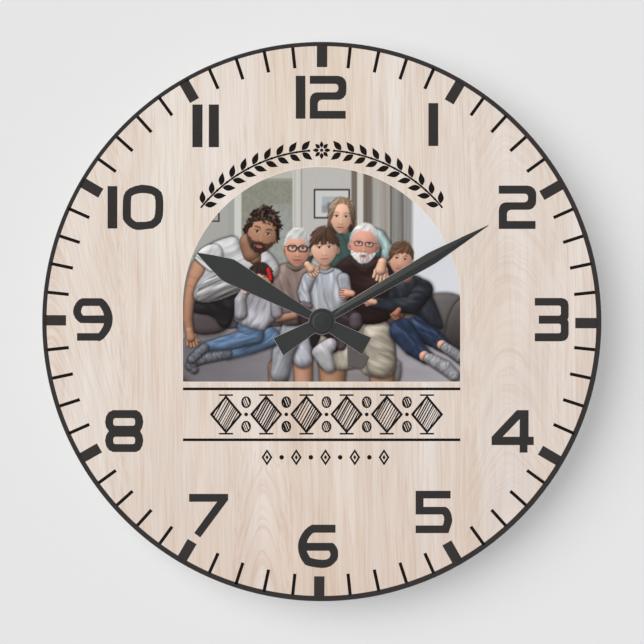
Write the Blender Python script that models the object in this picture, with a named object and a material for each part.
"""Round wall clock: a printed dial plate, two hands and a battery movement on its back.

Metres, +Z up. The origin is on the hands' axis in the plane of the wall, and the dial
faces -Y. A depth here is the distance from the wall towards the viewer, so y = -depth.
Places on the dial are (x, z) pairs, seen from the front.
"""
import math

import bmesh
import bpy
from mathutils import Vector

# Clearances
SEAT_GAP = 0.0003
PIVOT_GAP = 0.00012
LAYER_GAP = 0.0006

# Dial plate
DIAL_DIAMETER = 0.273
DIAL_THICKNESS = 0.003
DIAL_SEGMENTS = 128

# Parts that clamp the dial to the movement
GASKET_DIAMETER = 0.030
GASKET_THICKNESS = 0.001
WASHER_DIAMETER = 0.0124
WASHER_THICKNESS = 0.0005
NUT_ACROSS_FLATS = 0.0102
NUT_THICKNESS = 0.0018
BUSHING_DIAMETER = 0.008
BUSHING_FLANGE_DIAMETER = 0.013
BUSHING_FLANGE_THICKNESS = 0.0008
THREAD_STANDS_PROUD = 0.0005

# Hands, seen from the front and pointing up before they are turned
HOUR_HAND_ANGLE = math.radians(298.8)
HOUR_HAND_LENGTH = 0.0696
HOUR_HAND_TAIL = 0.0249
HOUR_HAND_WIDEST_AT = 0.0517
HOUR_HAND_WIDTH = 0.0119
HOUR_HAND_NECK_WIDTH = 0.0042
HOUR_HAND_TAIL_WIDTH = 0.0096
HOUR_HAND_RIDGE = 0.00012
HOUR_HAND_EYE_DIAMETER = 0.0122
MINUTE_HAND_ANGLE = math.radians(60.0)
MINUTE_HAND_LENGTH = 0.0934
MINUTE_HAND_TAIL = 0.0246
MINUTE_HAND_WIDEST_AT = 0.061
MINUTE_HAND_WIDTH = 0.0064
MINUTE_HAND_NECK_WIDTH = 0.0041
MINUTE_HAND_TAIL_WIDTH = 0.0100
MINUTE_HAND_RIDGE = 0.0005
MINUTE_HAND_EYE_DIAMETER = 0.0129
HAND_TIP_WIDTH = 0.0004
HAND_THICKNESS = 0.0005
HAND_SPACING = 0.0008

# Hand outline: shares of the way and of the change in width, then of the half width
HAND_GROWTH = ((0.12, 0.12), (0.93, 0.95))
HAND_TAPER = ((0.08, 0.96), (0.55, 0.52))
HAND_TIP_RIDGE_SHARE = 0.3

# Collets and hub cap
COLLET_WALL = 0.0006
COLLET_FLANGE_WIDTH = 0.0010
COLLET_FLANGE_THICKNESS = 0.0004
HUB_CAP_DIAMETER = 0.0108
HUB_CAP_WALL = 0.0014
HUB_CAP_HEIGHT = 0.0019
HUB_CAP_DOME = 0.0003

# Pipes and arbors on the hands' axis
SECONDS_ARBOR_DIAMETER = 0.0010
MINUTE_PIPE_WALL = 0.00085
HOUR_PIPE_WALL = 0.0008

# Battery and its bay
BATTERY_DIAMETER = 0.0145
BATTERY_LENGTH = 0.0505
BATTERY_NUB_DIAMETER = 0.0055
BATTERY_NUB_LENGTH = 0.0010
BATTERY_EDGE_ROUND = 0.0006
CONTACT_THICKNESS = 0.0004
CONTACT_WIDTH = 0.0070
CONTACT_HEIGHT = 0.0110
CONTACT_LEAD_WIDTH = 0.0022
CONTACT_LEAF_REACH = 0.0015
CONTACT_LEAF_HEIGHT = 0.0090
FINGER_NOTCH_WIDTH = 0.012

# Case of the movement
CASE_WALL = 0.0011
CASE_CORNER_RADIUS = 0.0030
WHEEL_ROOM = 0.0008
FRONT_SKIRT_DEPTH = 0.0022
LATCH_WIDTH = 0.0060
LATCH_LENGTH = 0.0045
LATCH_NOSE_HEIGHT = 0.0015
LATCH_THICKNESS = 0.0008
LATCH_NOSE = 0.0006
LATCH_Z = 0.0060
POST_DIAMETER = 0.0030
HANGER_WIDTH = 0.0130
HANGER_HEIGHT = 0.0105
HANGER_THICKNESS = 0.0024
HANGER_HOLE_DIAMETER = 0.0060
HANGER_ARC_STEPS = 8

# Train: tooth counts, distances between arbors and their directions from the centre
WHEEL_THICKNESS = 0.0006
PINION_OVERHANG = 0.0003
SECONDS_TEETH = 40
INTERMEDIATE_PINION_TEETH = 8
INTERMEDIATE_TEETH = 48
ROTOR_PINION_TEETH = 8
SECONDS_PINION_TEETH = 8
THIRD_TEETH = 64
THIRD_PINION_TEETH = 8
CENTRE_TEETH = 60
CANNON_TEETH = 12
MOTION_TEETH = 36
MOTION_PINION_TEETH = 10
HOUR_TEETH = 40
SETTING_TEETH = 18
CENTRE_TO_INTERMEDIATE = 0.00864
INTERMEDIATE_TO_ROTOR = 0.0084
CENTRE_TO_THIRD = 0.0108
CENTRE_TO_MOTION = 0.0080
MOTION_TO_SETTING = 0.0090
INTERMEDIATE_DIRECTION = math.radians(30)
ROTOR_DIRECTION = math.radians(80)
THIRD_DIRECTION = math.radians(150)
MOTION_DIRECTION = math.radians(200)
SMALL_ARBOR_DIAMETER = 0.0009
PIVOT_LENGTH = 0.0007
MOTION_POST_DIAMETER = 0.0012

# Wheel bodies: shares of each radius, and of the angle between two spokes
HUB_SHARE = 1.5
RIM_SHARE = 0.86
ARBOR_SHARE = 0.9
SPOKE_SHARE = 0.22
SPOKES = 4
FEW_SPOKES = 3
WINDOW_ARC_STEPS = 3

# Tooth form, as shares of the module and of the pitch
TOOTH_ADDENDUM = 0.75
TOOTH_DEDENDUM = 1.15
TOOTH_WIDTH_AT_PITCH = 0.40
TOOTH_WIDTH_AT_TIP = 0.20

# Setting knob
KNOB_DIAMETER = 0.0092
KNOB_THICKNESS = 0.0018
KNOB_FLUTES = 20
KNOB_FLUTE_DEPTH = 0.0003
KNOB_WELL_ROOM = 0.0005
SETTING_SHAFT_DIAMETER = 0.0020

# Motor
MAGNET_DIAMETER = 0.0042
MAGNET_GAP = 0.0004
STATOR_THICKNESS = 0.0008
STATOR_RING_WIDTH = 0.0022
STATOR_FOOT_WIDTH = 0.0042
STATOR_LOBE_START = math.radians(200)
STATOR_LOBE_SWEEP = math.radians(140)
STATOR_LOBE_STEPS = 10
COIL_LENGTH = 0.0220
COIL_DIAMETER = 0.0078
COIL_FLANGE_THICKNESS = 0.0006
COIL_CORE_WIDTH = 0.0030
COIL_CORE_THICKNESS = 0.0008
BOBBIN_WALL = 0.0005
BOBBIN_FLANGE_OVERHANG = 0.0003

# Electronics
BOARD_WIDTH = 0.0105
BOARD_HEIGHT = 0.0220
BOARD_THICKNESS = 0.0008
BOARD_BOTTOM = -0.0080
CRYSTAL_DIAMETER = 0.0020
CRYSTAL_LENGTH = 0.0060
CHIP_DIAMETER = 0.0056
CHIP_HEIGHT = 0.0011
CHIP_DOME = ((0.92, 0.5), (0.6, 0.9))
CHIP_UP_BOARD = 0.7
CRYSTAL_UP_BOARD = 0.25
PLATE_THICKNESS = 0.0010

# Radii that follow from the pipes inside each other
SECONDS_ARBOR_R = SECONDS_ARBOR_DIAMETER / 2
MINUTE_BORE_R = SECONDS_ARBOR_R + 2 * PIVOT_GAP
MINUTE_PIPE_R = MINUTE_BORE_R + MINUTE_PIPE_WALL
HOUR_BORE_R = MINUTE_PIPE_R + PIVOT_GAP
HOUR_PIPE_R = HOUR_BORE_R + HOUR_PIPE_WALL
BUSHING_BORE_R = HOUR_PIPE_R + PIVOT_GAP
BUSHING_R = BUSHING_DIAMETER / 2

# Layers of the movement, as depths of each layer's rear face
LAYER_STEP = WHEEL_THICKNESS + 2 * PINION_OVERHANG + LAYER_GAP
REAR_INSIDE = CASE_WALL
INTERMEDIATE_LAYER = REAR_INSIDE + PIVOT_LENGTH + LAYER_GAP + PINION_OVERHANG
SECONDS_LAYER = INTERMEDIATE_LAYER + LAYER_STEP
THIRD_LAYER = SECONDS_LAYER + LAYER_STEP
PLATE_REAR = THIRD_LAYER + WHEEL_THICKNESS + PINION_OVERHANG + LAYER_GAP
PLATE_FRONT = PLATE_REAR + PLATE_THICKNESS
CENTRE_LAYER = PLATE_FRONT + LAYER_GAP + PINION_OVERHANG
MOTION_LAYER = CENTRE_LAYER + WHEEL_THICKNESS + LAYER_GAP + PINION_OVERHANG
HOUR_LAYER = MOTION_LAYER + LAYER_STEP
FLANGE_REAR = HOUR_LAYER + WHEEL_THICKNESS + LAYER_GAP
TRAIN_FRONT = FLANGE_REAR + BUSHING_FLANGE_THICKNESS + SEAT_GAP
BATTERY_FRONT = BATTERY_DIAMETER + 2 * SEAT_GAP
FRONT_INSIDE = max(TRAIN_FRONT, BATTERY_FRONT)
CASE_DEPTH = FRONT_INSIDE + CASE_WALL
CASE_SPLIT = FRONT_INSIDE - FRONT_SKIRT_DEPTH

# Layers in front of the case
GASKET_REAR = CASE_DEPTH + SEAT_GAP
DIAL_REAR = GASKET_REAR + GASKET_THICKNESS + SEAT_GAP
DIAL_FRONT = DIAL_REAR + DIAL_THICKNESS
WASHER_REAR = DIAL_FRONT + SEAT_GAP
NUT_REAR = WASHER_REAR + WASHER_THICKNESS + SEAT_GAP
NUT_FRONT = NUT_REAR + NUT_THICKNESS
BUSHING_FRONT = NUT_FRONT + THREAD_STANDS_PROUD
HOUR_HAND_REAR = BUSHING_FRONT + HAND_SPACING
HOUR_HAND_FRONT = HOUR_HAND_REAR + HAND_THICKNESS
HOUR_COLLET_FRONT = HOUR_HAND_FRONT + SEAT_GAP + COLLET_FLANGE_THICKNESS
MINUTE_HAND_REAR = HOUR_COLLET_FRONT + HAND_SPACING
MINUTE_HAND_FRONT = MINUTE_HAND_REAR + HAND_THICKNESS
MINUTE_COLLET_FRONT = MINUTE_HAND_FRONT + SEAT_GAP + COLLET_FLANGE_THICKNESS
CAP_REAR = MINUTE_HAND_FRONT + SEAT_GAP
CAP_FRONT = CAP_REAR + HUB_CAP_HEIGHT

# Places of the arbors
CENTRE = (0.0, 0.0)


def offset(place, distance, direction):
    """The place that lies this far from another, in this direction on the dial."""
    return (place[0] + distance * math.cos(direction),
            place[1] + distance * math.sin(direction))


INTERMEDIATE_AT = offset(CENTRE, CENTRE_TO_INTERMEDIATE, INTERMEDIATE_DIRECTION)
ROTOR_AT = offset(INTERMEDIATE_AT, INTERMEDIATE_TO_ROTOR, ROTOR_DIRECTION)
THIRD_AT = offset(CENTRE, CENTRE_TO_THIRD, THIRD_DIRECTION)
MOTION_AT = offset(CENTRE, CENTRE_TO_MOTION, MOTION_DIRECTION)
SETTING_AT = offset(MOTION_AT, MOTION_TO_SETTING, MOTION_DIRECTION)


def pitch_radius(teeth, mate_teeth, distance):
    """Pitch radius of a wheel that meshes with its mate at this distance."""
    return distance * teeth / (teeth + mate_teeth)


def tip_radius(teeth, mate_teeth, distance):
    """Radius over the tips of the teeth."""
    pitch = pitch_radius(teeth, mate_teeth, distance)
    return pitch * (1 + 2 * TOOTH_ADDENDUM / teeth)


def root_radius(teeth, mate_teeth, distance):
    """Radius between the teeth."""
    pitch = pitch_radius(teeth, mate_teeth, distance)
    return pitch * (1 - 2 * TOOTH_DEDENDUM / teeth)


# Case outline: the widest wheel, the divider and the battery set its height
CENTRE_TIP_R = tip_radius(CENTRE_TEETH, THIRD_PINION_TEETH, CENTRE_TO_THIRD)
DIVIDER_TOP = -(CENTRE_TIP_R + WHEEL_ROOM)
DIVIDER_BOTTOM = DIVIDER_TOP - CASE_WALL
BATTERY_Z = DIVIDER_BOTTOM - SEAT_GAP - BATTERY_DIAMETER / 2
BATTERY_DEPTH = FRONT_INSIDE - SEAT_GAP - BATTERY_DIAMETER / 2
INSIDE_BOTTOM = BATTERY_Z - BATTERY_DIAMETER / 2 - SEAT_GAP
CASE_BOTTOM = INSIDE_BOTTOM - CASE_WALL
CONTACT_ROOM = 2 * SEAT_GAP + CONTACT_THICKNESS
LEAF_ROOM = CONTACT_ROOM + CONTACT_LEAF_REACH
INSIDE_WIDTH = BATTERY_LENGTH + CONTACT_ROOM + LEAF_ROOM
CASE_WIDTH = INSIDE_WIDTH + 2 * CASE_WALL
BATTERY_TIP_X = INSIDE_WIDTH / 2 - CONTACT_ROOM
BATTERY_END_X = BATTERY_TIP_X - BATTERY_LENGTH

# Coil and stator, above the rotor
ROTOR_HOLE_R = MAGNET_DIAMETER / 2 + MAGNET_GAP
STATOR_RING_R = ROTOR_HOLE_R + STATOR_RING_WIDTH
BOBBIN_HALF = COIL_DIAMETER / 2 + BOBBIN_FLANGE_OVERHANG
COIL_Z = ROTOR_AT[1] + STATOR_RING_R + SEAT_GAP + BOBBIN_HALF
INSIDE_TOP = COIL_Z + BOBBIN_HALF + SEAT_GAP
CASE_TOP = INSIDE_TOP + CASE_WALL
STATOR_REAR = SECONDS_LAYER
CORE_REAR = STATOR_REAR + STATOR_THICKNESS + SEAT_GAP
COIL_DEPTH = CORE_REAR + COIL_CORE_THICKNESS / 2
COIL_END_X = COIL_LENGTH / 2
STATOR_END_X = COIL_END_X + SEAT_GAP + STATOR_FOOT_WIDTH

# Knob well in the rear of the case
KNOB_R = KNOB_DIAMETER / 2
KNOB_WELL_R = KNOB_R + KNOB_WELL_ROOM
KNOB_REAR = 2 * SEAT_GAP
KNOB_FRONT = KNOB_REAR + KNOB_THICKNESS
WELL_FLOOR_REAR = KNOB_FRONT + SEAT_GAP
WELL_FLOOR_FRONT = WELL_FLOOR_REAR + CASE_WALL

# Posts that carry the middle plate: two high, two low, inside the side walls
POST_INSET = POST_DIAMETER / 2 + 2 * SEAT_GAP + LATCH_THICKNESS + LATCH_NOSE
POST_X = INSIDE_WIDTH / 2 - POST_INSET
POST_TOP_Z = COIL_Z - BOBBIN_HALF - SEAT_GAP - POST_DIAMETER / 2
POST_BOTTOM_Z = DIVIDER_TOP + POST_DIAMETER / 2 + SEAT_GAP
PLATE_POSTS = [(-POST_X, POST_TOP_Z), (POST_X, POST_TOP_Z),
               (-POST_X, POST_BOTTOM_Z), (POST_X, POST_BOTTOM_Z)]

# Round shapes are drawn with these numbers of sides
PIPE_SEGMENTS = 20
ARBOR_SEGMENTS = 12
DISC_SEGMENTS = 36
CAP_SEGMENTS = 48
CORNER_SEGMENTS = 4
SHARP_ANGLE = math.radians(35)


def remove_everything():
    """Empties the file before the clock is built."""
    for old in list(bpy.data.objects):
        bpy.data.objects.remove(old, do_unlink=True)


def plain_material(name, color, roughness, metallic=0.0):
    """A Principled material in one colour."""
    material = bpy.data.materials.new(name)
    material.use_nodes = True
    shader = material.node_tree.nodes["Principled BSDF"]
    shader.inputs["Base Color"].default_value = (*color, 1.0)
    shader.inputs["Roughness"].default_value = roughness
    shader.inputs["Metallic"].default_value = metallic
    return material


def add_object(name, shape, material=None):
    """Turns a bmesh into an object with its normals pointing out."""
    bmesh.ops.recalc_face_normals(shape, faces=shape.faces[:])
    mesh = bpy.data.meshes.new(name)
    shape.to_mesh(mesh)
    shape.free()
    mesh.shade_smooth()
    mesh.set_sharp_from_angle(angle=SHARP_ANGLE)
    made = bpy.data.objects.new(name, mesh)
    bpy.context.scene.collection.objects.link(made)
    if material is not None:
        mesh.materials.append(material)
    return made


def circle(radius, segments, centre=CENTRE, start=0.0):
    """Points round a circle on the dial's plane."""
    return [offset(centre, radius, start + 2 * math.pi * step / segments)
            for step in range(segments)]


def rounded_rectangle(left, right, bottom, top, radius):
    """Points round a rectangle with round corners."""
    corners = [(right - radius, top - radius, 0), (left + radius, top - radius, 1),
               (left + radius, bottom + radius, 2), (right - radius, bottom + radius, 3)]
    points = []
    for x, z, quarter in corners:
        for step in range(CORNER_SEGMENTS + 1):
            angle = math.pi / 2 * (quarter + step / CORNER_SEGMENTS)
            points.append(offset((x, z), radius, angle))
    return points


def plate(name, loops, rear, front, material=None):
    """A flat piece between two depths. The first loop is its outline, the rest its holes."""
    shape = bmesh.new()
    edges = []
    for loop in loops:
        ring = [shape.verts.new((x, -rear, z)) for x, z in loop]
        for index, vertex in enumerate(ring):
            edges.append(shape.edges.new((vertex, ring[(index + 1) % len(ring)])))
    bmesh.ops.triangle_fill(shape, use_beauty=True, edges=edges)
    lifted = bmesh.ops.extrude_face_region(shape, geom=shape.faces[:])
    moved = [item for item in lifted["geom"] if isinstance(item, bmesh.types.BMVert)]
    bmesh.ops.translate(shape, verts=moved, vec=(0, rear - front, 0))
    return add_object(name, shape, material)


def turned(name, profile, segments, centre=CENTRE, material=None):
    """A piece spun round an axis along Y. The profile is a closed loop of (radius, depth)."""
    shape = bmesh.new()
    verts = [shape.verts.new((radius, -depth, 0)) for radius, depth in profile]
    edges = [shape.edges.new((verts[index - 1], verts[index])) for index in range(len(verts))]
    bmesh.ops.spin(shape, geom=verts + edges, cent=(0, 0, 0), axis=(0, 1, 0),
                   angle=2 * math.pi, steps=segments, use_merge=True)
    bmesh.ops.remove_doubles(shape, verts=shape.verts[:], dist=1e-7)
    bmesh.ops.dissolve_degenerate(shape, edges=shape.edges[:], dist=1e-7)
    bmesh.ops.translate(shape, verts=shape.verts[:], vec=(centre[0], 0, centre[1]))
    return add_object(name, shape, material)


def tube_profile(inner, outer, rear, front):
    """Profile of a plain tube or washer."""
    return [(inner, rear), (outer, rear), (outer, front), (inner, front)]


def rod_profile(radius, rear, front):
    """Profile of a solid rod."""
    return [(0, rear), (radius, rear), (radius, front), (0, front)]


def combine(base, extras, operation="UNION"):
    """Adds the extra solids to the base, or cuts them from it, and removes them."""
    for extra in extras:
        step = base.modifiers.new(operation.title(), "BOOLEAN")
        step.operation = operation
        step.solver = "EXACT"
        step.object = extra
    graph = bpy.context.evaluated_depsgraph_get()
    result = bpy.data.meshes.new_from_object(base.evaluated_get(graph))
    base.modifiers.clear()
    old = base.data
    base.data = result
    bpy.data.meshes.remove(old)
    for extra in extras:
        bpy.data.objects.remove(extra, do_unlink=True)
    tidy = bmesh.new()
    tidy.from_mesh(result)
    bmesh.ops.remove_doubles(tidy, verts=tidy.verts[:], dist=1e-7)
    tidy.to_mesh(result)
    tidy.free()
    result.shade_smooth()
    result.set_sharp_from_angle(angle=SHARP_ANGLE)
    return base


def set_material(made, material):
    """Leaves one material on an object."""
    made.data.materials.clear()
    made.data.materials.append(material)
    for face in made.data.polygons:
        face.material_index = 0


def put_origin(made, centre):
    """Moves the object's origin onto its axis and leaves its shape where it is."""
    shift = Vector((centre[0], 0, centre[1]))
    for vertex in made.data.vertices:
        vertex.co -= shift
    made.location = shift


def gear_outline(teeth, mate_teeth, distance, centre, phase):
    """Outline of a toothed wheel, with its first tooth at the angle of its phase."""
    pitch = 2 * math.pi / teeth
    tip = tip_radius(teeth, mate_teeth, distance)
    root = root_radius(teeth, mate_teeth, distance)
    middle = pitch_radius(teeth, mate_teeth, distance)
    at_tip = pitch * TOOTH_WIDTH_AT_TIP / 2
    at_pitch = pitch * TOOTH_WIDTH_AT_PITCH / 2
    at_root = at_pitch + (at_pitch - at_tip) * (middle - root) / (tip - middle)
    points = []
    for tooth in range(teeth):
        angle = phase + tooth * pitch
        points.append(offset(centre, root, angle - at_root))
        points.append(offset(centre, tip, angle - at_tip))
        points.append(offset(centre, tip, angle + at_tip))
        points.append(offset(centre, root, angle + at_root))
    return points


def mesh_phase(teeth, phase, mate_teeth, direction):
    """Phase that puts a wheel in mesh with one whose teeth and phase are given.

    The direction runs from the given wheel's arbor to the new wheel's.
    """
    turns = (direction - phase) * teeth / (2 * math.pi)
    return direction + math.pi - (2 * math.pi / mate_teeth) * (0.5 - turns)


def spoke_windows(centre, hub, rim, count, phase):
    """Window outlines between the spokes of a wheel."""
    share = 2 * math.pi / count
    spoke = SPOKE_SHARE * share
    windows = []
    for index in range(count):
        low = phase + index * share + spoke
        high = phase + (index + 1) * share - spoke
        outer = [offset(centre, rim, low + (high - low) * step / WINDOW_ARC_STEPS)
                 for step in range(WINDOW_ARC_STEPS + 1)]
        inner = [offset(centre, hub, high - (high - low) * step / WINDOW_ARC_STEPS)
                 for step in range(WINDOW_ARC_STEPS + 1)]
        windows.append(outer + inner)
    return windows


# Phases: each chain starts from one wheel and follows its meshes
CANNON_PHASE = 0.0
MOTION_PHASE = mesh_phase(CANNON_TEETH, CANNON_PHASE, MOTION_TEETH, MOTION_DIRECTION)
MOTION_PINION_PHASE = 0.0
HOUR_PHASE = mesh_phase(MOTION_PINION_TEETH, MOTION_PINION_PHASE, HOUR_TEETH,
                        MOTION_DIRECTION + math.pi)
SETTING_PHASE = mesh_phase(MOTION_TEETH, MOTION_PHASE, SETTING_TEETH, MOTION_DIRECTION)
SECONDS_PHASE = 0.0
INTERMEDIATE_PINION_PHASE = mesh_phase(SECONDS_TEETH, SECONDS_PHASE,
                                       INTERMEDIATE_PINION_TEETH, INTERMEDIATE_DIRECTION)
INTERMEDIATE_PHASE = 0.0
ROTOR_PHASE = mesh_phase(INTERMEDIATE_TEETH, INTERMEDIATE_PHASE, ROTOR_PINION_TEETH,
                         ROTOR_DIRECTION)
SECONDS_PINION_PHASE = 0.0
THIRD_PHASE = mesh_phase(SECONDS_PINION_TEETH, SECONDS_PINION_PHASE, THIRD_TEETH,
                         THIRD_DIRECTION)
THIRD_PINION_PHASE = 0.0
CENTRE_PHASE = mesh_phase(THIRD_PINION_TEETH, THIRD_PINION_PHASE, CENTRE_TEETH,
                          THIRD_DIRECTION + math.pi)


def build_dial(paint):
    """The flat disc, cut square at its edge, with the hole for the bushing."""
    plate("dial_plate",
          [circle(DIAL_DIAMETER / 2, DIAL_SEGMENTS), circle(BUSHING_R + SEAT_GAP, DISC_SEGMENTS)],
          DIAL_REAR, DIAL_FRONT, paint["acrylic"])


def build_clamp_parts(paint):
    """Gasket behind the dial, washer and nut in front of it, and the bushing through it."""
    gap = BUSHING_R + SEAT_GAP
    turned("rubber_gasket",
           tube_profile(gap, GASKET_DIAMETER / 2, GASKET_REAR, GASKET_REAR + GASKET_THICKNESS),
           DISC_SEGMENTS, material=paint["rubber"])
    turned("dial_washer",
           tube_profile(gap, WASHER_DIAMETER / 2, WASHER_REAR, WASHER_REAR + WASHER_THICKNESS),
           DISC_SEGMENTS, material=paint["brass"])
    corner = NUT_ACROSS_FLATS / 2 / math.cos(math.pi / 6)
    plate("hexagon_nut", [circle(corner, 6), circle(gap, PIPE_SEGMENTS)],
          NUT_REAR, NUT_FRONT, paint["brass"])
    flange = BUSHING_FLANGE_DIAMETER / 2
    profile = [(BUSHING_BORE_R, FLANGE_REAR), (flange, FLANGE_REAR),
               (flange, FLANGE_REAR + BUSHING_FLANGE_THICKNESS),
               (BUSHING_R, FLANGE_REAR + BUSHING_FLANGE_THICKNESS),
               (BUSHING_R, BUSHING_FRONT), (BUSHING_BORE_R, BUSHING_FRONT)]
    turned("threaded_bushing", profile, PIPE_SEGMENTS, material=paint["brass"])


def blade(name, stations, rear):
    """A hand's blade: (along, half width, ridge) stations joined into one sheet."""
    shape = bmesh.new()
    rings = []
    for along, half, ridge in stations:
        front = rear + HAND_THICKNESS
        section = [(-half, front), (0, front + ridge), (half, front),
                   (half, rear), (0, rear + ridge), (-half, rear)]
        rings.append([shape.verts.new((x, -depth, along)) for x, depth in section])
    for low, high in zip(rings, rings[1:]):
        for index in range(len(low)):
            follow = (index + 1) % len(low)
            shape.faces.new((low[index], low[follow], high[follow], high[index]))
    shape.faces.new(rings[0])
    shape.faces.new(rings[-1])
    return add_object(name, shape)


def hand_stations(length, tail, widest_at, width, neck, tail_width, ridge, eye):
    """Stations from the tail's flat end, through the hub, to the tip."""
    half = width / 2
    narrow = neck / 2
    growth = [(eye + (widest_at - eye) * way, narrow + (half - narrow) * share, ridge)
              for way, share in HAND_GROWTH]
    taper = [(widest_at + (length - widest_at) * way, half * share, ridge)
             for way, share in HAND_TAPER]
    ends = [(-tail, tail_width / 2, 0), (eye, narrow, 0)]
    tip = (length, HAND_TIP_WIDTH / 2, ridge * HAND_TIP_RIDGE_SHARE)
    return ends + growth + [(widest_at, half, ridge)] + taper + [tip]


def build_hand(name, stations, eye_radius, hole_radius, rear, angle, material):
    """A blade with a round eye, turned to its place on the dial."""
    hand = blade(name, stations, rear)
    eye = turned("eye", rod_profile(eye_radius, rear, rear + HAND_THICKNESS), CAP_SEGMENTS)
    combine(hand, [eye])
    room = 4 * HAND_THICKNESS
    hole = turned("hole", rod_profile(hole_radius, rear - room, rear + room), PIPE_SEGMENTS)
    combine(hand, [hole], "DIFFERENCE")
    hand.rotation_euler = (0, angle, 0)
    set_material(hand, material)


def collet_profile(bore, hand_rear, hand_front, front):
    """Profile of a flanged collet that sits in a hand's eye."""
    wall = bore + COLLET_WALL
    flange = wall + COLLET_FLANGE_WIDTH
    return [(bore, hand_rear), (wall, hand_rear), (wall, hand_front + SEAT_GAP),
            (flange, hand_front + SEAT_GAP), (flange, front), (bore, front)]


def build_hands(paint):
    """Both hands, the collets in their eyes and the cap over them."""
    hour_bore = HOUR_PIPE_R + PIVOT_GAP
    minute_bore = MINUTE_PIPE_R + PIVOT_GAP
    build_hand("hour_hand",
               hand_stations(HOUR_HAND_LENGTH, HOUR_HAND_TAIL, HOUR_HAND_WIDEST_AT,
                             HOUR_HAND_WIDTH, HOUR_HAND_NECK_WIDTH, HOUR_HAND_TAIL_WIDTH,
                             HOUR_HAND_RIDGE, HOUR_HAND_EYE_DIAMETER / 2),
               HOUR_HAND_EYE_DIAMETER / 2, hour_bore + COLLET_WALL + PIVOT_GAP,
               HOUR_HAND_REAR, HOUR_HAND_ANGLE, paint["hand"])
    turned("hour_hand_collet",
           collet_profile(hour_bore, HOUR_HAND_REAR, HOUR_HAND_FRONT, HOUR_COLLET_FRONT),
           PIPE_SEGMENTS, material=paint["brass"])
    build_hand("minute_hand",
               hand_stations(MINUTE_HAND_LENGTH, MINUTE_HAND_TAIL, MINUTE_HAND_WIDEST_AT,
                             MINUTE_HAND_WIDTH, MINUTE_HAND_NECK_WIDTH,
                             MINUTE_HAND_TAIL_WIDTH, MINUTE_HAND_RIDGE,
                             MINUTE_HAND_EYE_DIAMETER / 2),
               MINUTE_HAND_EYE_DIAMETER / 2, minute_bore + COLLET_WALL + PIVOT_GAP,
               MINUTE_HAND_REAR, MINUTE_HAND_ANGLE, paint["hand"])
    turned("minute_hand_bush",
           collet_profile(minute_bore, MINUTE_HAND_REAR, MINUTE_HAND_FRONT,
                          MINUTE_COLLET_FRONT),
           PIPE_SEGMENTS, material=paint["brass"])
    radius = HUB_CAP_DIAMETER / 2
    inside = radius - HUB_CAP_WALL
    ceiling = CAP_FRONT - HUB_CAP_DOME - COLLET_WALL
    bevel = HUB_CAP_DOME
    turned("hub_cap",
           [(inside, CAP_REAR), (radius, CAP_REAR), (radius, CAP_FRONT - 2 * bevel),
            (radius - bevel, CAP_FRONT - bevel), (radius / 2, CAP_FRONT - bevel / 4),
            (0, CAP_FRONT), (0, ceiling), (inside, ceiling)],
           CAP_SEGMENTS, material=paint["hand"])


def arbor_seat(centre, depth):
    """A blind hole for a pivot, to be cut from a boss."""
    radius = SMALL_ARBOR_DIAMETER / 2 + PIVOT_GAP
    return turned("seat", rod_profile(radius, depth[0], depth[1]), ARBOR_SEGMENTS, centre)


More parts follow.
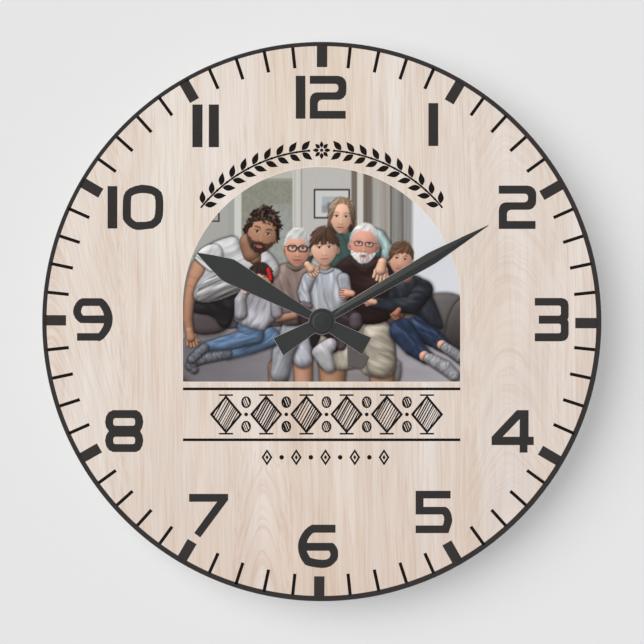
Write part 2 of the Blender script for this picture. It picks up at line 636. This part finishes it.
def build_rear_case(paint):
    """Rear shell: walls, battery bay, knob well, bosses and the hanging loop."""
    half = CASE_WIDTH / 2
    inside = INSIDE_WIDTH / 2
    outline = rounded_rectangle(-half, half, CASE_BOTTOM, CASE_TOP, CASE_CORNER_RADIUS)
    case = plate("rear_case", [outline], 0, CASE_SPLIT)
    inner_radius = CASE_CORNER_RADIUS - CASE_WALL
    hollow = plate("hollow", [rounded_rectangle(-inside, inside, INSIDE_BOTTOM, INSIDE_TOP,
                                                inner_radius)],
                   REAR_INSIDE, CASE_SPLIT + CASE_WALL)
    combine(case, [hollow], "DIFFERENCE")
    divider_end = inside - CONTACT_ROOM - SEAT_GAP
    divider = plate("divider",
                    [[(-divider_end, DIVIDER_BOTTOM), (divider_end, DIVIDER_BOTTOM),
                      (divider_end, DIVIDER_TOP), (-divider_end, DIVIDER_TOP)]],
                    CASE_WALL / 2, FRONT_INSIDE - SEAT_GAP)
    well = turned("well", rod_profile(KNOB_WELL_R + CASE_WALL, CASE_WALL / 2,
                                      WELL_FLOOR_FRONT), DISC_SEGMENTS, SETTING_AT)
    boss_top = INTERMEDIATE_LAYER - PINION_OVERHANG - SEAT_GAP
    low_boss = [turned("boss", rod_profile(POST_DIAMETER / 2, CASE_WALL / 2, boss_top),
                       ARBOR_SEGMENTS, place)
                for place in (INTERMEDIATE_AT, ROTOR_AT)]
    centre_top = SECONDS_LAYER - PINION_OVERHANG - LAYER_GAP
    centre_boss = turned("boss", rod_profile(SECONDS_ARBOR_DIAMETER, CASE_WALL / 2,
                                             centre_top), ARBOR_SEGMENTS)
    third_top = THIRD_LAYER - PINION_OVERHANG - SEAT_GAP
    third_boss = turned("boss", rod_profile(POST_DIAMETER / 2, CASE_WALL / 2, third_top),
                        ARBOR_SEGMENTS, THIRD_AT)
    stator_posts = [turned("post", rod_profile(POST_DIAMETER / 2, CASE_WALL / 2,
                                               STATOR_REAR - SEAT_GAP), ARBOR_SEGMENTS,
                           (side * (STATOR_END_X - STATOR_FOOT_WIDTH / 2), COIL_Z))
                    for side in (-1, 1)]
    plate_posts = [turned("post", rod_profile(POST_DIAMETER / 2, CASE_WALL / 2,
                                              PLATE_REAR - SEAT_GAP), ARBOR_SEGMENTS, place)
                   for place in PLATE_POSTS]
    loop = hanger_loop()
    combine(case, [divider, well, centre_boss, third_boss, loop]
            + low_boss + stator_posts + plate_posts)
    bay = plate("bay", [[(-inside, INSIDE_BOTTOM), (inside, INSIDE_BOTTOM),
                         (inside, DIVIDER_BOTTOM), (-inside, DIVIDER_BOTTOM)]],
                -CASE_WALL, WELL_FLOOR_FRONT + CASE_WALL / 2)
    notch = turned("notch", rod_profile(FINGER_NOTCH_WIDTH / 2, -CASE_WALL,
                                        FINGER_NOTCH_WIDTH / 2), DISC_SEGMENTS)
    notch.rotation_euler = (math.pi / 2, 0, 0)
    notch.location = (0, 0, CASE_BOTTOM)
    well_cut = turned("well", rod_profile(KNOB_WELL_R, -CASE_WALL, WELL_FLOOR_REAR),
                      DISC_SEGMENTS, SETTING_AT)
    shaft_hole = turned("hole", rod_profile(SETTING_SHAFT_DIAMETER / 2 + PIVOT_GAP,
                                            -CASE_WALL, WELL_FLOOR_FRONT + CASE_WALL),
                        PIPE_SEGMENTS, SETTING_AT)
    seats = [arbor_seat(place, (boss_top - PIVOT_LENGTH - SEAT_GAP, boss_top + LAYER_GAP))
             for place in (INTERMEDIATE_AT, ROTOR_AT)]
    seats.append(turned("seat", rod_profile(SECONDS_ARBOR_R + PIVOT_GAP,
                                            centre_top - PIVOT_LENGTH - SEAT_GAP,
                                            centre_top + LAYER_GAP), ARBOR_SEGMENTS))
    seats.append(arbor_seat(THIRD_AT, (third_top - PIVOT_LENGTH - SEAT_GAP,
                                       third_top + LAYER_GAP)))
    windows = [latch_window(side) for side in (-1, 1)]
    combine(case, [bay, notch, well_cut, shaft_hole] + seats + windows, "DIFFERENCE")
    set_material(case, paint["case"])


def hanger_loop():
    """The hanging loop above the case, with a round hole for a nail."""
    hole = HANGER_HOLE_DIAMETER / 2
    top = CASE_TOP + HANGER_HEIGHT
    half = HANGER_WIDTH / 2
    outline = [(-half, CASE_TOP - CASE_WALL), (half, CASE_TOP - CASE_WALL)]
    for step in range(HANGER_ARC_STEPS + 1):
        outline.append(offset((0, top - half), half, math.pi * step / HANGER_ARC_STEPS))
    nail = circle(hole, PIPE_SEGMENTS, (0, top - half))
    return plate("loop", [outline, nail], 0, HANGER_THICKNESS)


def latch_box(side, inner, outer, half, rear, front):
    """A block beside one side wall of the case."""
    low, high = sorted((side * inner, side * outer))
    return plate("latch", [[(low, LATCH_Z - half), (high, LATCH_Z - half),
                            (high, LATCH_Z + half), (low, LATCH_Z + half)]],
                 rear, front)


def latch_window(side):
    """The opening in a side wall that a latch nose snaps into."""
    inside = INSIDE_WIDTH / 2
    rear = CASE_SPLIT - LATCH_LENGTH
    return latch_box(side, inside - CASE_WALL, inside + 2 * CASE_WALL,
                     LATCH_WIDTH / 2 + SEAT_GAP, rear - SEAT_GAP,
                     rear + LATCH_NOSE_HEIGHT + SEAT_GAP)


def build_front_case(paint):
    """Front shell: face, skirt, latch tabs, posts for the plate and the motion wheel."""
    half = CASE_WIDTH / 2
    inside = INSIDE_WIDTH / 2
    skirt_rear = CASE_SPLIT + SEAT_GAP
    outline = rounded_rectangle(-half, half, CASE_BOTTOM, CASE_TOP, CASE_CORNER_RADIUS)
    case = plate("front_case", [outline], skirt_rear, CASE_DEPTH)
    inner_radius = CASE_CORNER_RADIUS - CASE_WALL
    hollow = plate("hollow", [rounded_rectangle(-inside, inside, INSIDE_BOTTOM, INSIDE_TOP,
                                                inner_radius)],
                   skirt_rear - CASE_WALL, FRONT_INSIDE)
    combine(case, [hollow], "DIFFERENCE")
    root = FRONT_INSIDE + CASE_WALL / 2
    posts = [turned("post", rod_profile(POST_DIAMETER / 2, PLATE_FRONT + SEAT_GAP, root),
                    ARBOR_SEGMENTS, place) for place in PLATE_POSTS]
    motion_post = turned("post", rod_profile(MOTION_POST_DIAMETER / 2,
                                             MOTION_LAYER - PINION_OVERHANG, root),
                         ARBOR_SEGMENTS, MOTION_AT)
    third_rear = CENTRE_LAYER + WHEEL_THICKNESS + PINION_OVERHANG + SEAT_GAP
    third_boss = turned("boss", rod_profile(SMALL_ARBOR_DIAMETER, third_rear, root),
                        ARBOR_SEGMENTS, THIRD_AT)
    setting_rear = MOTION_LAYER + WHEEL_THICKNESS + PINION_OVERHANG + SEAT_GAP
    setting_boss = turned("boss", rod_profile(POST_DIAMETER / 2, setting_rear, root),
                          ARBOR_SEGMENTS, SETTING_AT)
    tab_root = (skirt_rear + FRONT_INSIDE) / 2
    tab_front = inside - SEAT_GAP
    tabs = []
    for side in (-1, 1):
        tab_rear = CASE_SPLIT - LATCH_LENGTH
        tabs.append(latch_box(side, tab_front - LATCH_THICKNESS, tab_front,
                              LATCH_WIDTH / 2, tab_rear, tab_root + CASE_WALL))
        tabs.append(latch_box(side, tab_front - LATCH_THICKNESS / 2, inside + CASE_WALL / 2,
                              LATCH_WIDTH / 2, tab_root, tab_root + CASE_WALL))
        tabs.append(latch_box(side, tab_front - LATCH_THICKNESS / 2, tab_front + LATCH_NOSE,
                              LATCH_WIDTH / 2, tab_rear, tab_rear + LATCH_NOSE_HEIGHT))
    combine(case, posts + [motion_post, third_boss, setting_boss] + tabs)
    bore = turned("bore", rod_profile(BUSHING_R + PIVOT_GAP, FRONT_INSIDE - CASE_WALL,
                                      CASE_DEPTH + CASE_WALL), PIPE_SEGMENTS)
    seats = [arbor_seat(place, (depth - LAYER_GAP, depth + PIVOT_LENGTH + SEAT_GAP))
             for place, depth in ((THIRD_AT, third_rear), (SETTING_AT, setting_rear))]
    combine(case, [bore] + seats, "DIFFERENCE")
    set_material(case, paint["case"])


def build_middle_plate(paint):
    """The plate between the train's layers, with holes for what passes through it."""
    left, right = PLATE_POSTS[0][0] - POST_DIAMETER / 2, PLATE_POSTS[1][0] + POST_DIAMETER / 2
    bottom = PLATE_POSTS[2][1] - POST_DIAMETER / 2
    top = COIL_Z - BOBBIN_HALF - SEAT_GAP
    outline = rounded_rectangle(left, right, bottom, top, POST_DIAMETER / 2)
    pinion = tip_radius(THIRD_PINION_TEETH, CENTRE_TEETH, CENTRE_TO_THIRD)
    pivot = SMALL_ARBOR_DIAMETER / 2 + PIVOT_GAP
    holes = [circle(MINUTE_PIPE_R + SEAT_GAP, PIPE_SEGMENTS, CENTRE),
             circle(pinion + SEAT_GAP, PIPE_SEGMENTS, THIRD_AT),
             circle(SETTING_SHAFT_DIAMETER / 2 + SEAT_GAP, PIPE_SEGMENTS, SETTING_AT),
             circle(pivot, ARBOR_SEGMENTS, INTERMEDIATE_AT),
             circle(pivot, ARBOR_SEGMENTS, ROTOR_AT)]
    plate("middle_plate", [outline] + holes, PLATE_REAR, PLATE_FRONT, paint["frame"])


def wheel_with_pinion(name, centre, wheel, pinion, bore, ends, windows, material):
    """A wheel and its pinion in one moulding, with pivots or a bore.

    wheel and pinion are (teeth, mate teeth, distance, phase, rear, front). ends gives
    the depths of the two pivots, or None for a wheel with a bore.
    """
    teeth, mate, distance, phase, rear, front = wheel
    rim = root_radius(teeth, mate, distance)
    loops = [gear_outline(teeth, mate, distance, centre, phase)]
    pinion_tip = tip_radius(*pinion[:3])
    if windows:
        loops += spoke_windows(centre, pinion_tip * HUB_SHARE, rim * RIM_SHARE, windows, phase)
    made = plate(name, loops, rear, front)
    small = plate("pinion", [gear_outline(*pinion[:3], centre, pinion[3])],
                  pinion[4], pinion[5])
    extras = [small]
    if ends is not None:
        low = min(rear, pinion[4])
        high = max(front, pinion[5])
        pinion_root = root_radius(*pinion[:3])
        extras.append(turned("arbor", rod_profile(pinion_root * ARBOR_SHARE, low, high),
                             ARBOR_SEGMENTS, centre))
        extras.append(turned("pivot", rod_profile(SMALL_ARBOR_DIAMETER / 2, ends[0], ends[1]),
                             ARBOR_SEGMENTS, centre))
    combine(made, extras)
    if bore:
        hole = turned("bore", rod_profile(bore, rear - CASE_DEPTH, front + CASE_DEPTH),
                      PIPE_SEGMENTS, centre)
        combine(made, [hole], "DIFFERENCE")
    set_material(made, material)
    put_origin(made, centre)
    return made


def build_train(paint):
    """The wheels from the rotor to the centre wheel."""
    rotor_pinion = (ROTOR_PINION_TEETH, INTERMEDIATE_TEETH, INTERMEDIATE_TO_ROTOR)
    boss_top = INTERMEDIATE_LAYER - PINION_OVERHANG - SEAT_GAP
    rotor_ends = (boss_top - PIVOT_LENGTH, PLATE_REAR + PLATE_THICKNESS / 2)
    pinion_rear = INTERMEDIATE_LAYER - PINION_OVERHANG
    pinion_front = INTERMEDIATE_LAYER + WHEEL_THICKNESS + PINION_OVERHANG
    rotor = plate("rotor_pinion", [gear_outline(*rotor_pinion, ROTOR_AT, ROTOR_PHASE)],
                  pinion_rear, pinion_front)
    stem = turned("stem", rod_profile(SMALL_ARBOR_DIAMETER / 2, *rotor_ends),
                  ARBOR_SEGMENTS, ROTOR_AT)
    combine(rotor, [stem])
    set_material(rotor, paint["steel"])
    put_origin(rotor, ROTOR_AT)
    magnet = turned("rotor_magnet",
                    tube_profile(SMALL_ARBOR_DIAMETER / 2 + PIVOT_GAP, MAGNET_DIAMETER / 2,
                                 STATOR_REAR - PINION_OVERHANG,
                                 STATOR_REAR + STATOR_THICKNESS + PINION_OVERHANG),
                    PIPE_SEGMENTS, ROTOR_AT, paint["magnet"])
    put_origin(magnet, ROTOR_AT)
    wheel_with_pinion(
        "intermediate_wheel", INTERMEDIATE_AT,
        (INTERMEDIATE_TEETH, ROTOR_PINION_TEETH, INTERMEDIATE_TO_ROTOR, INTERMEDIATE_PHASE,
         INTERMEDIATE_LAYER, INTERMEDIATE_LAYER + WHEEL_THICKNESS),
        (INTERMEDIATE_PINION_TEETH, SECONDS_TEETH, CENTRE_TO_INTERMEDIATE,
         INTERMEDIATE_PINION_PHASE, INTERMEDIATE_LAYER + WHEEL_THICKNESS / 2,
         SECONDS_LAYER + WHEEL_THICKNESS + PINION_OVERHANG),
        0, rotor_ends, SPOKES, paint["wheel"])
    wheel_with_pinion(
        "seconds_wheel", CENTRE,
        (SECONDS_TEETH, INTERMEDIATE_PINION_TEETH, CENTRE_TO_INTERMEDIATE, SECONDS_PHASE,
         SECONDS_LAYER, SECONDS_LAYER + WHEEL_THICKNESS),
        (SECONDS_PINION_TEETH, THIRD_TEETH, CENTRE_TO_THIRD, SECONDS_PINION_PHASE,
         SECONDS_LAYER + WHEEL_THICKNESS / 2, THIRD_LAYER + WHEEL_THICKNESS + PINION_OVERHANG),
        SECONDS_ARBOR_R + PIVOT_GAP, None, SPOKES, paint["wheel"])
    arbor_rear = SECONDS_LAYER - PINION_OVERHANG - LAYER_GAP - PIVOT_LENGTH
    turned("seconds_arbor",
           rod_profile(SECONDS_ARBOR_R, arbor_rear, MINUTE_COLLET_FRONT),
           ARBOR_SEGMENTS, material=paint["steel"])
    third_ends = (THIRD_LAYER - PINION_OVERHANG - SEAT_GAP - PIVOT_LENGTH,
                  CENTRE_LAYER + WHEEL_THICKNESS + PINION_OVERHANG + SEAT_GAP + PIVOT_LENGTH)
    wheel_with_pinion(
        "third_wheel", THIRD_AT,
        (THIRD_TEETH, SECONDS_PINION_TEETH, CENTRE_TO_THIRD, THIRD_PHASE,
         THIRD_LAYER, THIRD_LAYER + WHEEL_THICKNESS),
        (THIRD_PINION_TEETH, CENTRE_TEETH, CENTRE_TO_THIRD, THIRD_PINION_PHASE,
         THIRD_LAYER + WHEEL_THICKNESS / 2,
         CENTRE_LAYER + WHEEL_THICKNESS + PINION_OVERHANG),
        0, third_ends, SPOKES, paint["wheel"])
    centre_rim = root_radius(CENTRE_TEETH, THIRD_PINION_TEETH, CENTRE_TO_THIRD)
    grip = MINUTE_PIPE_R + PIVOT_GAP
    loops = [gear_outline(CENTRE_TEETH, THIRD_PINION_TEETH, CENTRE_TO_THIRD, CENTRE,
                          CENTRE_PHASE),
             circle(grip, PIPE_SEGMENTS)]
    loops += spoke_windows(CENTRE, grip * HUB_SHARE, centre_rim * RIM_SHARE, FEW_SPOKES, CENTRE_PHASE)
    plate("centre_wheel", loops, CENTRE_LAYER, CENTRE_LAYER + WHEEL_THICKNESS, paint["wheel"])


def build_motion_work(paint):
    """The wheels that turn the hour hand from the minute pipe, and the setting shaft."""
    cannon = (CANNON_TEETH, MOTION_TEETH, CENTRE_TO_MOTION)
    pipe = turned("minute_pipe",
                  rod_profile(MINUTE_PIPE_R, CENTRE_LAYER - PINION_OVERHANG,
                              MINUTE_COLLET_FRONT), PIPE_SEGMENTS)
    teeth = plate("teeth", [gear_outline(*cannon, CENTRE, CANNON_PHASE)],
                  MOTION_LAYER - PINION_OVERHANG,
                  MOTION_LAYER + WHEEL_THICKNESS + PINION_OVERHANG)
    combine(pipe, [teeth])
    bore = turned("bore", rod_profile(MINUTE_BORE_R, 0, CAP_FRONT), ARBOR_SEGMENTS)
    combine(pipe, [bore], "DIFFERENCE")
    set_material(pipe, paint["wheel"])
    wheel_with_pinion(
        "motion_wheel", MOTION_AT,
        (MOTION_TEETH, CANNON_TEETH, CENTRE_TO_MOTION, MOTION_PHASE,
         MOTION_LAYER, MOTION_LAYER + WHEEL_THICKNESS),
        (MOTION_PINION_TEETH, HOUR_TEETH, CENTRE_TO_MOTION, MOTION_PINION_PHASE,
         MOTION_LAYER + WHEEL_THICKNESS / 2, HOUR_LAYER + WHEEL_THICKNESS + PINION_OVERHANG),
        MOTION_POST_DIAMETER / 2 + PIVOT_GAP, None, FEW_SPOKES, paint["wheel"])
    hour_rim = root_radius(HOUR_TEETH, MOTION_PINION_TEETH, CENTRE_TO_MOTION)
    hour = plate("hour_wheel",
                 [gear_outline(HOUR_TEETH, MOTION_PINION_TEETH, CENTRE_TO_MOTION, CENTRE,
                               HOUR_PHASE)]
                 + spoke_windows(CENTRE, HOUR_PIPE_R * HUB_SHARE, hour_rim * RIM_SHARE, SPOKES,
                                 HOUR_PHASE),
                 HOUR_LAYER, HOUR_LAYER + WHEEL_THICKNESS)
    hour_pipe = turned("pipe", rod_profile(HOUR_PIPE_R, HOUR_LAYER + WHEEL_THICKNESS / 2,
                                           HOUR_COLLET_FRONT), PIPE_SEGMENTS)
    combine(hour, [hour_pipe])
    hour_bore = turned("bore", rod_profile(HOUR_BORE_R, 0, CAP_FRONT), PIPE_SEGMENTS)
    combine(hour, [hour_bore], "DIFFERENCE")
    set_material(hour, paint["wheel"])
    setting = (SETTING_TEETH, MOTION_TEETH, MOTION_TO_SETTING)
    shaft_rear = KNOB_REAR + PIVOT_GAP
    shaft = turned("setting_shaft",
                   [(0, shaft_rear), (SETTING_SHAFT_DIAMETER / 2, shaft_rear),
                    (SETTING_SHAFT_DIAMETER / 2, MOTION_LAYER),
                    (SMALL_ARBOR_DIAMETER / 2, MOTION_LAYER),
                    (SMALL_ARBOR_DIAMETER / 2,
                     MOTION_LAYER + WHEEL_THICKNESS + PINION_OVERHANG + SEAT_GAP
                     + PIVOT_LENGTH),
                    (0, MOTION_LAYER + WHEEL_THICKNESS + PINION_OVERHANG + SEAT_GAP
                     + PIVOT_LENGTH)], PIPE_SEGMENTS, SETTING_AT)
    setting_teeth = plate("teeth", [gear_outline(*setting, SETTING_AT, SETTING_PHASE)],
                          MOTION_LAYER - PINION_OVERHANG,
                          MOTION_LAYER + WHEEL_THICKNESS + PINION_OVERHANG)
    combine(shaft, [setting_teeth])
    set_material(shaft, paint["wheel"])
    put_origin(shaft, SETTING_AT)


def build_knob(paint):
    """The fluted setting knob, pressed on the rear end of its shaft."""
    outline = []
    for flute in range(KNOB_FLUTES):
        start = 2 * math.pi * flute / KNOB_FLUTES
        step = math.pi / KNOB_FLUTES
        outline.append(offset(SETTING_AT, KNOB_R, start - step / 2))
        outline.append(offset(SETTING_AT, KNOB_R, start + step / 2))
        outline.append(offset(SETTING_AT, KNOB_R - KNOB_FLUTE_DEPTH, start + step))
    hole = circle(SETTING_SHAFT_DIAMETER / 2 + PIVOT_GAP, PIPE_SEGMENTS, SETTING_AT)
    knob = plate("setting_knob", [outline, hole], KNOB_REAR, KNOB_FRONT, paint["knob"])
    put_origin(knob, SETTING_AT)


def build_motor(paint):
    """Stator, coil core, bobbin and winding."""
    arm_top = COIL_Z - BOBBIN_HALF - SEAT_GAP
    foot_in = STATOR_END_X - STATOR_FOOT_WIDTH
    foot_top = COIL_Z + COIL_CORE_WIDTH / 2 + SEAT_GAP
    lobe = [offset(ROTOR_AT, STATOR_RING_R,
                   STATOR_LOBE_START + STATOR_LOBE_SWEEP * step / STATOR_LOBE_STEPS)
            for step in range(STATOR_LOBE_STEPS + 1)]
    arm_bottom = lobe[0][1]
    outline = [(-STATOR_END_X, foot_top), (-STATOR_END_X, arm_bottom)] + lobe
    outline += [(STATOR_END_X, arm_bottom), (STATOR_END_X, foot_top), (foot_in, foot_top),
                (foot_in, arm_top), (-foot_in, arm_top), (-foot_in, foot_top)]
    hole = circle(ROTOR_HOLE_R, PIPE_SEGMENTS, ROTOR_AT)
    plate("stator", [outline, hole], STATOR_REAR, STATOR_REAR + STATOR_THICKNESS,
          paint["iron"])
    core_half = COIL_CORE_WIDTH / 2
    core_end = STATOR_END_X - SEAT_GAP
    plate("coil_core", [[(-core_end, COIL_Z - core_half), (core_end, COIL_Z - core_half),
                         (core_end, COIL_Z + core_half), (-core_end, COIL_Z + core_half)]],
          CORE_REAR, CORE_REAR + COIL_CORE_THICKNESS, paint["iron"])
    build_bobbin(paint)


def box(name, x, depth, z, material=None):
    """A block between pairs of x, depth and z values."""
    return plate(name, [[(x[0], z[0]), (x[1], z[0]), (x[1], z[1]), (x[0], z[1])]],
                 depth[0], depth[1], material)


def build_bobbin(paint):
    """A square tube with two flanges, and the winding between them."""
    bore_z = COIL_CORE_WIDTH / 2 + SEAT_GAP
    bore_y = COIL_CORE_THICKNESS / 2 + SEAT_GAP
    tube_z = bore_z + BOBBIN_WALL
    tube_y = bore_y + BOBBIN_WALL
    flange_in = COIL_END_X - COIL_FLANGE_THICKNESS
    bobbin = box("coil_bobbin", (-COIL_END_X, COIL_END_X),
                 (COIL_DEPTH - tube_y, COIL_DEPTH + tube_y), (COIL_Z - tube_z, COIL_Z + tube_z))
    flanges = [box("flange", sorted((side * flange_in, side * COIL_END_X)),
                   (COIL_DEPTH - BOBBIN_HALF, COIL_DEPTH + BOBBIN_HALF),
                   (COIL_Z - BOBBIN_HALF, COIL_Z + BOBBIN_HALF)) for side in (-1, 1)]
    combine(bobbin, flanges)
    bore = box("bore", (-CASE_WIDTH, CASE_WIDTH), (COIL_DEPTH - bore_y, COIL_DEPTH + bore_y),
               (COIL_Z - bore_z, COIL_Z + bore_z))
    combine(bobbin, [bore], "DIFFERENCE")
    set_material(bobbin, paint["bobbin"])
    reach = flange_in - SEAT_GAP
    inner = math.hypot(tube_z, tube_y) + SEAT_GAP
    winding = turned("coil_winding",
                     tube_profile(inner, COIL_DIAMETER / 2, -reach, reach), PIPE_SEGMENTS,
                     material=paint["copper"])
    winding.rotation_euler = (0, 0, math.pi / 2)
    winding.location = (0, -COIL_DEPTH, COIL_Z)


def build_electronics(paint):
    """Circuit board on the plate, with the chip and the crystal on it."""
    right = PLATE_POSTS[1][0] - POST_DIAMETER / 2 - SEAT_GAP
    left = right - BOARD_WIDTH
    rear = PLATE_FRONT + SEAT_GAP
    front = rear + BOARD_THICKNESS
    box("circuit_board", (left, right), (rear, front),
        (BOARD_BOTTOM, BOARD_BOTTOM + BOARD_HEIGHT), paint["board"])
    middle = (left + right) / 2
    chip_at = (middle, BOARD_BOTTOM + BOARD_HEIGHT * CHIP_UP_BOARD)
    chip_rear = front + SEAT_GAP
    radius = CHIP_DIAMETER / 2
    dome = [(radius * wide, chip_rear + CHIP_HEIGHT * high) for wide, high in CHIP_DOME]
    turned("clock_chip",
           [(0, chip_rear), (radius, chip_rear)] + dome + [(0, chip_rear + CHIP_HEIGHT)],
           PIPE_SEGMENTS, chip_at, paint["resin"])
    can = turned("quartz_crystal",
                 rod_profile(CRYSTAL_DIAMETER / 2, -CRYSTAL_LENGTH / 2, CRYSTAL_LENGTH / 2),
                 ARBOR_SEGMENTS, material=paint["steel"])
    can.rotation_euler = (math.pi / 2, 0, 0)
    can.location = (middle, -(front + SEAT_GAP + CRYSTAL_DIAMETER / 2),
                    BOARD_BOTTOM + BOARD_HEIGHT * CRYSTAL_UP_BOARD)


def contact_plate(name, side):
    """A spring-steel plate at one end of the bay, with a lead past the divider."""
    wall = side * (INSIDE_WIDTH / 2 - SEAT_GAP)
    face = wall - side * CONTACT_THICKNESS
    low, high = sorted((wall, face))
    depth = (BATTERY_DEPTH - CONTACT_WIDTH / 2, BATTERY_DEPTH + CONTACT_WIDTH / 2)
    body = box(name, (low, high), depth,
               (BATTERY_Z - CONTACT_HEIGHT / 2, BATTERY_Z + CONTACT_HEIGHT / 2))
    lead = box("lead", (low, high),
               (BATTERY_DEPTH - CONTACT_LEAD_WIDTH / 2, BATTERY_DEPTH + CONTACT_LEAD_WIDTH / 2),
               (BATTERY_Z, DIVIDER_TOP + CONTACT_LEAD_WIDTH))
    return combine(body, [lead])


def build_battery(paint):
    """The cell with its nub to the right, and the two contacts."""
    radius = BATTERY_DIAMETER / 2
    nub = BATTERY_NUB_DIAMETER / 2
    edge = BATTERY_EDGE_ROUND
    shoulder = BATTERY_LENGTH - BATTERY_NUB_LENGTH
    profile = [(0, 0), (radius - edge, 0), (radius, edge), (radius, shoulder - edge),
               (radius - edge, shoulder), (nub, shoulder), (nub, BATTERY_LENGTH),
               (0, BATTERY_LENGTH)]
    battery = turned("battery", profile, DISC_SEGMENTS // 2, material=paint["battery"])
    battery.rotation_euler = (0, 0, math.pi / 2)
    battery.location = (BATTERY_END_X, -BATTERY_DEPTH, BATTERY_Z)
    set_material(contact_plate("positive_contact", 1), paint["steel"])
    negative = contact_plate("negative_contact", -1)
    face = SEAT_GAP + CONTACT_THICKNESS - INSIDE_WIDTH / 2
    reach = face + CONTACT_LEAF_REACH
    half = CONTACT_LEAF_HEIGHT / 2
    thick = CONTACT_THICKNESS
    root = face - thick / 2
    leaf = plate("leaf",
                 [[(root, BATTERY_Z + half), (root, BATTERY_Z + half - thick),
                   (reach - thick, BATTERY_Z), (root, BATTERY_Z - half + thick),
                   (root, BATTERY_Z - half), (reach, BATTERY_Z - thick),
                   (reach, BATTERY_Z + thick)]],
                 BATTERY_DEPTH - CONTACT_WIDTH / 3, BATTERY_DEPTH + CONTACT_WIDTH / 3)
    combine(negative, [leaf])
    set_material(negative, paint["steel"])


def main():
    """Builds the whole clock."""
    remove_everything()
    paint = {
        "acrylic": plain_material("acrylic", (0.80, 0.74, 0.68), 0.35),
        "hand": plain_material("hand", (0.047, 0.048, 0.048), 0.42, 0.3),
        "brass": plain_material("brass", (0.75, 0.55, 0.25), 0.3, 1.0),
        "rubber": plain_material("rubber", (0.03, 0.03, 0.03), 0.8),
        "case": plain_material("case", (0.022, 0.022, 0.024), 0.5),
        "frame": plain_material("frame", (0.75, 0.75, 0.72), 0.5),
        "wheel": plain_material("wheel", (0.85, 0.84, 0.80), 0.45),
        "knob": plain_material("knob", (0.03, 0.03, 0.032), 0.45),
        "steel": plain_material("steel", (0.6, 0.6, 0.62), 0.3, 1.0),
        "magnet": plain_material("magnet", (0.2, 0.2, 0.22), 0.4, 0.8),
        "iron": plain_material("iron", (0.42, 0.42, 0.43), 0.4, 1.0),
        "bobbin": plain_material("bobbin", (0.12, 0.12, 0.13), 0.5),
        "copper": plain_material("copper", (0.72, 0.32, 0.16), 0.35, 1.0),
        "board": plain_material("board", (0.05, 0.22, 0.09), 0.4),
        "resin": plain_material("resin", (0.01, 0.01, 0.01), 0.25),
        "battery": plain_material("battery", (0.12, 0.13, 0.15), 0.3, 0.5),
    }
    build_dial(paint)
    build_clamp_parts(paint)
    build_hands(paint)
    build_rear_case(paint)
    build_front_case(paint)
    build_middle_plate(paint)
    build_train(paint)
    build_motion_work(paint)
    build_knob(paint)
    build_motor(paint)
    build_electronics(paint)
    build_battery(paint)


main()
